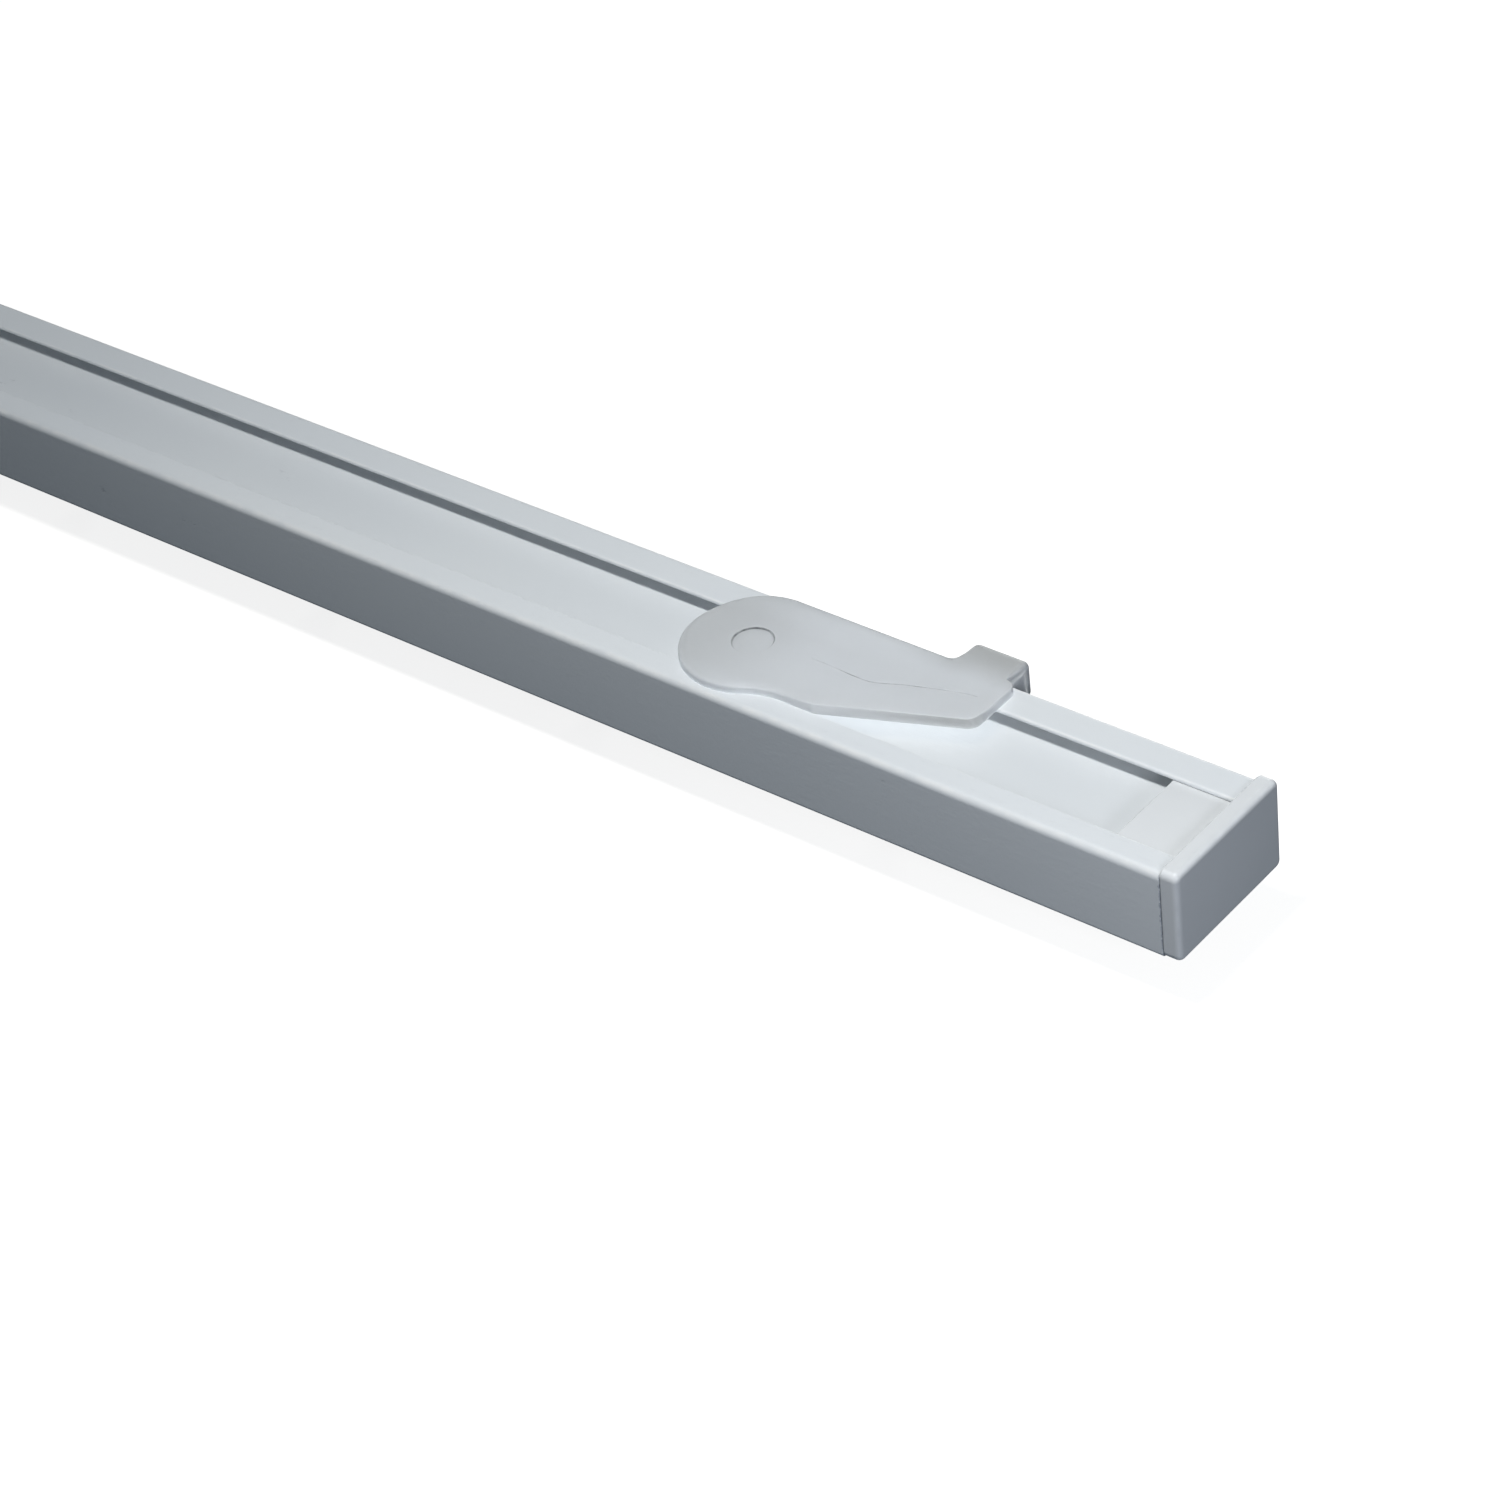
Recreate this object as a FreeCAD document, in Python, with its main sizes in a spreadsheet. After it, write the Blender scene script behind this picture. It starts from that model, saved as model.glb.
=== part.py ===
import FreeCAD, Part
import math
import os
import Sketcher

# Ceiling-fixed curtain track: an extruded section with a clip groove on top and a glider
# channel below, moulded end caps, swivelling ceiling clips, gliders and end stops.
# Millimetres.  X runs along the track, +Y is the side with the clips' tabs, +Z is up.
# The origin is on the ceiling plane, over the middle of the track's centre line.

os.makedirs("parts", exist_ok=True)

GLIDER_COUNT = 12

SIZES = [
    # extruded track
    ("rail_length", 600.0),
    ("rail_width", 20.0),
    ("rail_height", 12.0),
    ("side_wall", 1.3),
    ("lip_thickness", 0.55),
    ("front_lip", 3.6),
    ("back_lip", 4.6),
    ("groove_height", 2.05),
    ("web_thickness", 1.0),
    ("runner_thickness", 1.2),
    ("slot_width", 6.0),
    ("top_edge_radius", 1.0),
    ("bottom_edge_radius", 0.6),
    ("inner_corner_radius", 0.3),
    ("lip_edge_radius", 0.2),
    # end caps
    ("cap_flange", 2.4),
    ("cap_proud", 0.5),
    ("cap_corner_radius", 1.0),
    ("cap_face_radius", 0.8),
    ("cap_joint_bevel", 0.2),
    ("cap_clearance", 0.08),
    ("tongue_length", 8.5),
    ("tongue_bevel", 0.2),
    ("plug_length", 9.0),
    ("plug_leg", 2.2),
    ("plug_roof", 1.6),
    ("plug_corner_radius", 0.9),
    ("plug_lead_in", 0.5),
    # ceiling clips
    ("clip_from_end", 64.8),
    ("clip_plate", 1.2),
    ("disc_radius", 9.1),
    ("lever_reach", 32.3),
    ("lever_waist", 6.6),
    ("lever_shoulder", 14.2),
    ("lever_tip_front", 0.6),
    ("lever_tip_radius", 1.8),
    ("waist_radius", 10.0),
    ("clip_rim_radius", 0.4),
    ("clip_edge_radius", 0.25),
    ("tab_inset", 1.3),
    ("tab_width", 7.4),
    ("tab_reach", 13.9),
    ("tab_drop", 5.6),
    ("tab_thickness", 1.2),
    ("tab_slope", 0.15),
    ("tab_bend_radius", 0.9),
    ("tab_corner_radius", 1.0),
    ("tab_root_radius", 1.0),
    ("neck_radius", 4.5),
    ("lug_radius", 8.2),
    ("lug_half_width", 4.3),
    ("lug_clearance", 0.12),
    ("dimple_radius", 2.7),
    ("dimple_depth", 0.25),
    ("screw_recess_radius", 2.1),
    ("screw_film", 0.6),
    # gliders
    ("glider_length", 8.4),
    ("glider_head_width", 11.2),
    ("glider_head_height", 2.6),
    ("glider_head_radius", 2.0),
    ("glider_edge_bevel", 0.7),
    ("glider_lift", 0.1),
    ("glider_neck_length", 4.8),
    ("glider_neck_gap", 0.5),
    ("glider_neck_radius", 0.9),
    ("collar_length", 7.2),
    ("collar_width", 7.8),
    ("collar_thickness", 0.9),
    ("collar_radius", 1.6),
    ("collar_gap", 0.3),
    ("eye_radius", 3.0),
    ("eye_bore_radius", 1.7),
    ("eye_thickness", 2.2),
    ("eye_drop", 2.5),
    ("eye_shoulder", 5.2),
    # end stops and their set screws
    ("stop_from_end", 18.0),
    ("stop_length", 9.0),
    ("stop_width", 12.4),
    ("stop_height", 4.2),
    ("stop_corner_radius", 1.0),
    ("stop_neck_gap", 0.2),
    ("stop_neck_length", 7.6),
    ("stop_neck_drop", 0.6),
    ("set_screw_radius", 1.5),
    ("set_screw_gap", 0.05),
    ("set_screw_tip", 0.4),
    ("set_screw_socket", 0.87),
    ("set_screw_socket_depth", 1.6),
]

doc = FreeCAD.newDocument("curtain_track")
sheet = doc.addObject("Spreadsheet::Sheet", "Size")
for row, (alias, number) in enumerate(SIZES, 1):
    sheet.set("A%d" % row, alias)
    sheet.set("B%d" % row, str(number))
    sheet.setAlias("B%d" % row, alias)
doc.recompute()

# Levels of the section, down from the ceiling plane.
RAIL_TOP = "(-Size.clip_plate)"
LIP_UNDER = "(-Size.clip_plate - Size.lip_thickness)"
WEB_TOP = "(-Size.clip_plate - Size.lip_thickness - Size.groove_height)"
WEB_UNDER = "(-Size.clip_plate - Size.lip_thickness - Size.groove_height - Size.web_thickness)"
RAIL_BOTTOM = "(-Size.clip_plate - Size.rail_height)"
RUNNER_TOP = "(-Size.clip_plate - Size.rail_height + Size.runner_thickness)"

# Places across the section.
SIDE = "(Size.rail_width / 2)"
WALL_INSIDE = "(Size.rail_width / 2 - Size.side_wall)"
FRONT_LIP_EDGE = "(-Size.rail_width / 2 + Size.front_lip)"
BACK_LIP_EDGE = "(Size.rail_width / 2 - Size.back_lip)"
HALF_SLOT = "(Size.slot_width / 2)"

NODES = []


def value(expression):
    return float(sheet.evalExpression(expression))


def near(first, second):
    return abs(first - second) < 1e-4


def new_body(label):
    body = doc.addObject("PartDesign::Body", label)
    body.Label = label
    NODES.append(body)
    return body


def new_sketch(body, name, role, lift=None):
    """A sketch on one of the body's origin planes, lifted along the plane's normal."""
    sketch = body.newObject("Sketcher::SketchObject", name)
    plane = [item for item in body.Origin.OriginFeatures if item.Role == role][0]
    sketch.AttachmentSupport = [(plane, "")]
    sketch.MapMode = "FlatFace"
    if lift:
        sketch.setExpression("AttachmentOffset.Base.z", lift)
    return sketch


def constrain(sketch, kind, places, expression):
    number = sketch.addConstraint(Sketcher.Constraint(kind, *places, value(expression)))
    sketch.setExpression("Constraints[%d]" % number, expression)


def pin_point(sketch, geometry, vertex, across, up):
    constrain(sketch, "DistanceX", (-1, 1, geometry, vertex), across)
    constrain(sketch, "DistanceY", (-1, 1, geometry, vertex), up)


def add_outline(sketch, corners):
    """Close a loop through (across, up, corner radius or None), listed anticlockwise."""
    count = len(corners)
    spots = [FreeCAD.Vector(value(across), value(up), 0) for across, up, _ in corners]
    arcs = {}
    starts = list(spots)
    ends = list(spots)
    for i, (_, _, radius) in enumerate(corners):
        if not radius:
            continue
        came = (spots[i] - spots[i - 1]).normalize()
        goes = (spots[(i + 1) % count] - spots[i]).normalize()
        turn = math.copysign(1, came.cross(goes).z)
        size = value(radius)
        trim = size * math.tan(came.getAngle(goes) / 2)
        ends[i] = spots[i] - came * trim
        starts[i] = spots[i] + goes * trim
        centre = ends[i] + FreeCAD.Vector(-came.y, came.x, 0) * size * turn
        arcs[i] = (centre, size, turn)
    lines = []
    for i in range(count):
        segment = Part.LineSegment(starts[i], ends[(i + 1) % count])
        lines.append(sketch.addGeometry(segment, False))
    for i, (across, up, radius) in enumerate(corners):
        before, after = lines[i - 1], lines[i]
        if i not in arcs:
            sketch.addConstraint(Sketcher.Constraint("Coincident", before, 2, after, 1))
            pin_point(sketch, after, 1, across, up)
            continue
        centre, size, turn = arcs[i]
        first, last = (ends[i], starts[i]) if turn > 0 else (starts[i], ends[i])
        angles = [math.atan2(end.y - centre.y, end.x - centre.x) for end in (first, last)]
        circle = Part.Circle(centre, FreeCAD.Vector(0, 0, 1), size)
        arc = sketch.addGeometry(Part.ArcOfCircle(circle, *angles), False)
        corner = sketch.addGeometry(Part.Point(spots[i]), True)
        pin_point(sketch, corner, 1, across, up)
        near_end, far_end = (1, 2) if turn > 0 else (2, 1)
        sketch.addConstraint([
            Sketcher.Constraint("PointOnObject", corner, 1, before),
            Sketcher.Constraint("PointOnObject", corner, 1, after),
            Sketcher.Constraint("Tangent", before, 2, arc, near_end),
            Sketcher.Constraint("Tangent", after, 1, arc, far_end),
        ])
        constrain(sketch, "Radius", (arc,), radius)


def add_rectangle(sketch, half_across, half_up, radius=None):
    add_outline(sketch, [
        ("-" + half_across, "-" + half_up, radius),
        (half_across, "-" + half_up, radius),
        (half_across, half_up, radius),
        ("-" + half_across, half_up, radius),
    ])


def add_circle(sketch, radius, up=None):
    centre = FreeCAD.Vector(0, value(up) if up else 0, 0)
    circle = Part.Circle(centre, FreeCAD.Vector(0, 0, 1), value(radius))
    number = sketch.addGeometry(circle, False)
    if up:
        sketch.addConstraint(Sketcher.Constraint("PointOnObject", number, 3, -2))
        constrain(sketch, "DistanceY", (-1, 1, number, 3), up)
    else:
        sketch.addConstraint(Sketcher.Constraint("Coincident", number, 3, -1, 1))
    constrain(sketch, "Radius", (number,), radius)


def add_disc_strip(sketch, radius, half_width):
    """A disc cut to a strip along Y: two flats joined by arcs about the origin."""
    reach, half = value(radius), value(half_width)
    high = math.sqrt(reach ** 2 - half ** 2)
    circle = Part.Circle(FreeCAD.Vector(0, 0, 0), FreeCAD.Vector(0, 0, 1), reach)
    opening = math.atan2(high, half)
    right = sketch.addGeometry(Part.LineSegment(
        FreeCAD.Vector(half, -high, 0), FreeCAD.Vector(half, high, 0)), False)
    back = sketch.addGeometry(Part.ArcOfCircle(circle, opening, math.pi - opening), False)
    left = sketch.addGeometry(Part.LineSegment(
        FreeCAD.Vector(-half, high, 0), FreeCAD.Vector(-half, -high, 0)), False)
    front = sketch.addGeometry(
        Part.ArcOfCircle(circle, math.pi + opening, 2 * math.pi - opening), False)
    loop = [right, back, left, front]
    for i in range(4):
        sketch.addConstraint(Sketcher.Constraint("Coincident", loop[i - 1], 2, loop[i], 1))
    sketch.addConstraint([
        Sketcher.Constraint("Vertical", right),
        Sketcher.Constraint("Vertical", left),
        Sketcher.Constraint("Coincident", back, 3, -1, 1),
        Sketcher.Constraint("Coincident", front, 3, -1, 1),
        Sketcher.Constraint("Equal", back, front),
    ])
    constrain(sketch, "Radius", (back,), radius)
    constrain(sketch, "DistanceX", (-1, 1, right, 1), half_width)
    constrain(sketch, "DistanceX", (-1, 1, left, 1), "-" + half_width)


def add_pad(body, name, sketch, length, reverse=False, both_sides=False):
    pad = body.newObject("PartDesign::Pad", name)
    pad.Profile = sketch
    pad.setExpression("Length", length)
    pad.Reversed = reverse
    if both_sides:
        pad.SideType = "Symmetric"
    doc.recompute()


def add_pocket(body, name, sketch, length=None, reverse=False, both_sides=False):
    before = body.Shape.Volume
    pocket = body.newObject("PartDesign::Pocket", name)
    pocket.Profile = sketch
    pocket.Reversed = reverse
    if length:
        pocket.setExpression("Length", length)
    else:
        pocket.Type = "ThroughAll"
    if both_sides:
        pocket.SideType = "Symmetric"
    doc.recompute()
    if body.Shape.Volume > before - 1e-3:
        raise RuntimeError("%s of %s removes nothing" % (name, body.Label))


def dress_edges(body, kind, name, size, wanted):
    """Fillet or chamfer the edges of the body's tip that the test picks out."""
    base = body.Tip
    names = ["Edge%d" % number
             for number, edge in enumerate(base.Shape.Edges, 1) if wanted(edge)]
    if not names:
        raise RuntimeError("%s of %s finds no edge" % (name, body.Label))
    feature = body.newObject("PartDesign::" + kind, name)
    feature.Base = (base, names)
    feature.setExpression("Radius" if kind == "Fillet" else "Size", size)
    doc.recompute()


def lies_at(edge, axis, place):
    """True if the whole edge lies in the plane axis = place."""
    box = edge.BoundBox
    low = {"x": box.XMin, "y": box.YMin, "z": box.ZMin}[axis]
    high = {"x": box.XMax, "y": box.YMax, "z": box.ZMax}[axis]
    return near(low, place) and near(high, place)


def runs_along(edge, axis):
    box = edge.BoundBox
    spans = {"x": box.XLength, "y": box.YLength, "z": box.ZLength}
    return spans.pop(axis) > 1e-3 and max(spans.values()) < 1e-4


# Track: one extruded section, open along the top between two lips for the clips and
# along the bottom by the slot that the gliders hang through.
track = new_body("track_profile")
section = new_sketch(track, "track_section", "YZ_Plane")
add_outline(section, [
    ("-" + SIDE, RAIL_BOTTOM, "Size.bottom_edge_radius"),
    ("-" + HALF_SLOT, RAIL_BOTTOM, "Size.lip_edge_radius"),
    ("-" + HALF_SLOT, RUNNER_TOP, "Size.lip_edge_radius"),
    ("-" + WALL_INSIDE, RUNNER_TOP, "Size.inner_corner_radius"),
    ("-" + WALL_INSIDE, WEB_UNDER, "Size.inner_corner_radius"),
    (WALL_INSIDE, WEB_UNDER, "Size.inner_corner_radius"),
    (WALL_INSIDE, RUNNER_TOP, "Size.inner_corner_radius"),
    (HALF_SLOT, RUNNER_TOP, "Size.lip_edge_radius"),
    (HALF_SLOT, RAIL_BOTTOM, "Size.lip_edge_radius"),
    (SIDE, RAIL_BOTTOM, "Size.bottom_edge_radius"),
    (SIDE, RAIL_TOP, "Size.top_edge_radius"),
    (BACK_LIP_EDGE, RAIL_TOP, "Size.lip_edge_radius"),
    (BACK_LIP_EDGE, LIP_UNDER, "Size.lip_edge_radius"),
    (WALL_INSIDE, LIP_UNDER, "Size.inner_corner_radius"),
    (WALL_INSIDE, WEB_TOP, "Size.inner_corner_radius"),
    ("-" + WALL_INSIDE, WEB_TOP, "Size.inner_corner_radius"),
    ("-" + WALL_INSIDE, LIP_UNDER, "Size.inner_corner_radius"),
    (FRONT_LIP_EDGE, LIP_UNDER, "Size.lip_edge_radius"),
    (FRONT_LIP_EDGE, RAIL_TOP, "Size.lip_edge_radius"),
    ("-" + SIDE, RAIL_TOP, "Size.top_edge_radius"),
])
add_pad(track, "track_extrusion", section, "Size.rail_length", both_sides=True)


def make_end_cap(label, side):
    """A flange over the track's end, a tongue in the clip groove and a plug in the channel.

    side is 1 for the +X end and -1 for the -X end, which is its mirror image."""
    inward = side > 0
    body = new_body(label)
    flange = new_sketch(body, label + "_flange_outline", "YZ_Plane")
    corner = "Size.cap_corner_radius"
    add_outline(flange, [
        ("-" + SIDE, RAIL_BOTTOM, corner),
        (SIDE + " + Size.cap_proud", RAIL_BOTTOM, corner),
        (SIDE + " + Size.cap_proud", RAIL_TOP + " + Size.cap_proud", corner),
        ("-" + SIDE, RAIL_TOP + " + Size.cap_proud", corner),
    ])
    add_pad(body, label + "_flange", flange, "Size.cap_flange", reverse=not inward)
    outer_face = side * value("Size.cap_flange")
    dress_edges(body, "Fillet", label + "_face_edge", "Size.cap_face_radius",
                lambda edge: lies_at(edge, "x", outer_face))
    dress_edges(body, "Chamfer", label + "_joint_bevel", "Size.cap_joint_bevel",
                lambda edge: lies_at(edge, "x", 0))

    # The tongue slides into the clip groove, under both lips.
    tongue_side = WALL_INSIDE + " - Size.cap_clearance"
    tongue_top = LIP_UNDER + " - Size.cap_clearance"
    tongue_under = WEB_TOP + " + Size.cap_clearance"
    tongue = new_sketch(body, label + "_tongue_section", "YZ_Plane")
    add_outline(tongue, [
        ("-(" + tongue_side + ")", tongue_under, "Size.inner_corner_radius"),
        (tongue_side, tongue_under, "Size.inner_corner_radius"),
        (tongue_side, tongue_top, "Size.inner_corner_radius"),
        ("-(" + tongue_side + ")", tongue_top, "Size.inner_corner_radius"),
    ])
    add_pad(body, label + "_tongue", tongue, "Size.tongue_length", reverse=inward)
    tip = -side * value("Size.tongue_length")
    dress_edges(body, "Chamfer", label + "_tongue_tip", "Size.tongue_bevel",
                lambda edge: lies_at(edge, "x", tip))

    # The plug is a U that leaves the slot free and grips the channel with its two legs.
    plug_side = WALL_INSIDE + " - Size.cap_clearance"
    plug_top = WEB_UNDER + " - Size.cap_clearance"
    plug_foot = RUNNER_TOP + " + Size.cap_clearance"
    leg_inside = plug_side + " - Size.plug_leg"
    roof_under = plug_top + " - Size.plug_roof"
    plug_corner = "Size.plug_corner_radius"
    plug = new_sketch(body, label + "_plug_section", "YZ_Plane")
    add_outline(plug, [
        ("-(" + plug_side + ")", plug_foot, plug_corner),
        ("-(" + leg_inside + ")", plug_foot, plug_corner),
        ("-(" + leg_inside + ")", roof_under, plug_corner),
        (leg_inside, roof_under, plug_corner),
        (leg_inside, plug_foot, plug_corner),
        (plug_side, plug_foot, plug_corner),
        (plug_side, plug_top, plug_corner),
        ("-(" + plug_side + ")", plug_top, plug_corner),
    ])
    add_pad(body, label + "_plug", plug, "Size.plug_length", reverse=inward)
    plug_tip = -side * value("Size.plug_length")
    dress_edges(body, "Chamfer", label + "_lead_in", "Size.plug_lead_in",
                lambda edge: lies_at(edge, "x", plug_tip))
    body.setExpression("Placement.Base.x", "%d * Size.rail_length / 2" % side)


make_end_cap("end_cap_right", 1)
make_end_cap("end_cap_left", -1)


def make_ceiling_clip(label, side):
    """A one-piece clip: a plate on the lips, and below it a lug that turns under them."""
    body = new_body(label)
    disc = new_sketch(body, label + "_disc_outline", "XY_Plane")
    add_circle(disc, "Size.disc_radius")
    add_pad(body, label + "_disc", disc, "Size.clip_plate", reverse=True)

    # The lever leaves the disc along a hollow waist and widens again at its shoulder.
    lever = new_sketch(body, label + "_lever_outline", "XY_Plane")
    add_outline(lever, [
        ("0", "-Size.lever_waist", None),
        ("Size.lever_shoulder", "-Size.lever_waist", None),
        ("Size.lever_reach", "Size.lever_tip_front", "Size.lever_tip_radius"),
        ("Size.lever_reach", "Size.disc_radius", None),
        ("0", "Size.disc_radius", None),
    ])
    add_pad(body, label + "_lever", lever, "Size.clip_plate", reverse=True)
    waist = -value("Size.lever_waist")
    shoulder = value("Size.lever_shoulder")
    dress_edges(body, "Fillet", label + "_waist", "Size.waist_radius",
                lambda edge: (runs_along(edge, "z") and lies_at(edge, "y", waist)
                              and edge.BoundBox.XMax < shoulder - 1))
    dress_edges(body, "Fillet", label + "_rim", "Size.clip_rim_radius",
                lambda edge: lies_at(edge, "z", 0) and edge.BoundBox.XMax < shoulder + 0.01)
    reach = value("Size.lever_reach")
    dress_edges(body, "Fillet", label + "_tip_edge", "Size.clip_edge_radius",
                lambda edge: lies_at(edge, "z", 0) and lies_at(edge, "x", reach))

    # The tab at the lever's tip reaches past the track's back edge and bends down.
    tab = new_sketch(body, label + "_tab_outline", "XY_Plane")
    tab_right = "Size.lever_reach - Size.tab_inset"
    tab_left = "(" + tab_right + " - Size.tab_width)"
    root = "(Size.disc_radius - Size.tab_root_radius)"
    add_outline(tab, [
        (tab_left + " - 2 * Size.tab_root_radius", root, None),
        (tab_right, root, None),
        (tab_right, "Size.tab_reach", "Size.tab_corner_radius"),
        (tab_left, "Size.tab_reach", "Size.tab_corner_radius"),
        (tab_left, "Size.disc_radius", "Size.tab_root_radius"),
        (tab_left + " - 2 * Size.tab_root_radius", "Size.disc_radius", None),
    ])
    add_pad(body, label + "_tab", tab, "Size.tab_drop", reverse=True)
    over = new_sketch(body, label + "_tab_top", "YZ_Plane",
                      tab_left + " - 2.5 * Size.tab_root_radius")
    add_outline(over, [
        (root, "0", None),
        ("Size.tab_reach", "-Size.tab_slope", "Size.tab_bend_radius"),
        ("Size.tab_reach", "-2 * Size.tab_bend_radius - Size.tab_slope", None),
        ("2 * Size.tab_reach", "-2 * Size.tab_bend_radius - Size.tab_slope", None),
        ("2 * Size.tab_reach", "Size.tab_drop", None),
        (root, "Size.tab_drop", None),
    ])
    add_pocket(body, label + "_tab_fall", over, "2 * Size.tab_width", reverse=True)
    under = new_sketch(body, label + "_tab_underside", "YZ_Plane",
                       tab_left + " - 2.5 * Size.tab_root_radius")
    leg_inside = "(Size.tab_reach - Size.tab_thickness)"
    add_outline(under, [
        (root + " - Size.tab_root_radius", "-2 * Size.tab_drop", None),
        (leg_inside, "-2 * Size.tab_drop", None),
        (leg_inside, "-Size.clip_plate - Size.tab_slope", "Size.tab_bend_radius / 3"),
        (SIDE, "-Size.clip_plate", None),
        (root + " - Size.tab_root_radius", "-Size.clip_plate", None),
    ])
    add_pocket(body, label + "_tab_hollow", under, "2 * Size.tab_width", reverse=True)

    # Neck between the lips, and the lug below them, long across the track when locked.
    lug_top = LIP_UNDER + " - Size.lug_clearance"
    lug_under = WEB_TOP + " + Size.lug_clearance"
    neck = new_sketch(body, label + "_neck_outline", "XY_Plane", lug_under)
    add_circle(neck, "Size.neck_radius")
    add_pad(body, label + "_neck", neck, RAIL_TOP + " - (" + lug_under + ")")
    lug = new_sketch(body, label + "_lug_outline", "XY_Plane", lug_under)
    add_disc_strip(lug, "Size.lug_radius", "Size.lug_half_width")
    add_pad(body, label + "_lug", lug, lug_top + " - (" + lug_under + ")")

    # Moulded marks for the screw: a dimple on top and a recess below, a thin film between.
    dimple = new_sketch(body, label + "_dimple_outline", "XY_Plane")
    add_circle(dimple, "Size.dimple_radius")
    add_pocket(body, label + "_dimple", dimple, "Size.dimple_depth")
    recess = new_sketch(body, label + "_recess_outline", "XY_Plane", lug_under)
    add_circle(recess, "Size.screw_recess_radius")
    add_pocket(body, label + "_screw_recess", recess,
               "-Size.dimple_depth - Size.screw_film - (" + lug_under + ")", reverse=True)
    body.setExpression(
        "Placement.Base.x", "%d * (Size.rail_length / 2 - Size.clip_from_end)" % side)


make_ceiling_clip("ceiling_clip_right", 1)
make_ceiling_clip("ceiling_clip_left", -1)


def make_glider(label, steps):
    """A moulded glider: head on the runners, neck in the slot, collar and eye below."""
    body = new_body(label)
    head_under = "(Size.runner_thickness + Size.glider_lift)"
    head = new_sketch(body, label + "_head_outline", "XY_Plane", head_under)
    add_rectangle(head, "Size.glider_length / 2", "Size.glider_head_width / 2",
                  "Size.glider_head_radius")
    add_pad(body, label + "_head", head, "Size.glider_head_height")
    head_top = value(head_under + " + Size.glider_head_height")
    dress_edges(body, "Chamfer", label + "_head_edge", "Size.glider_edge_bevel",
                lambda edge: lies_at(edge, "z", head_top))

    neck = new_sketch(body, label + "_neck_outline", "XY_Plane", "-Size.collar_gap")
    add_rectangle(neck, "Size.glider_neck_length / 2",
                  "(" + HALF_SLOT + " - Size.glider_neck_gap)", "Size.glider_neck_radius")
    add_pad(body, label + "_neck", neck, head_under + " + Size.collar_gap")

    collar = new_sketch(body, label + "_collar_outline", "XY_Plane", "-Size.collar_gap")
    add_rectangle(collar, "Size.collar_length / 2", "Size.collar_width / 2",
                  "Size.collar_radius")
    add_pad(body, label + "_collar", collar, "Size.collar_thickness", reverse=True)

    eye_level = "(-Size.collar_gap - Size.collar_thickness - Size.eye_drop)"
    shoulder = new_sketch(body, label + "_shoulder_outline", "XZ_Plane")
    add_outline(shoulder, [
        ("-Size.eye_radius", eye_level, None),
        ("Size.eye_radius", eye_level, None),
        ("Size.eye_shoulder / 2", "-Size.collar_gap - Size.collar_thickness", None),
        ("-Size.eye_shoulder / 2", "-Size.collar_gap - Size.collar_thickness", None),
    ])
    add_pad(body, label + "_shoulder", shoulder, "Size.eye_thickness", both_sides=True)
    ring = new_sketch(body, label + "_eye_outline", "XZ_Plane")
    add_circle(ring, "Size.eye_radius", eye_level)
    add_pad(body, label + "_eye", ring, "Size.eye_thickness", both_sides=True)
    bore = new_sketch(body, label + "_bore_outline", "XZ_Plane")
    add_circle(bore, "Size.eye_bore_radius", eye_level)
    add_pocket(body, label + "_bore", bore, "2 * Size.eye_thickness", both_sides=True)

    pitch = ("(Size.rail_length - 2 * Size.stop_from_end - Size.stop_length) / %d"
             % GLIDER_COUNT)
    body.setExpression("Placement.Base.x", "%s * %s" % (steps, pitch))
    body.setExpression("Placement.Base.z", RAIL_BOTTOM)


for number in range(GLIDER_COUNT):
    make_glider("glider_%02d" % (number + 1), number - (GLIDER_COUNT - 1) / 2)


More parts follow.
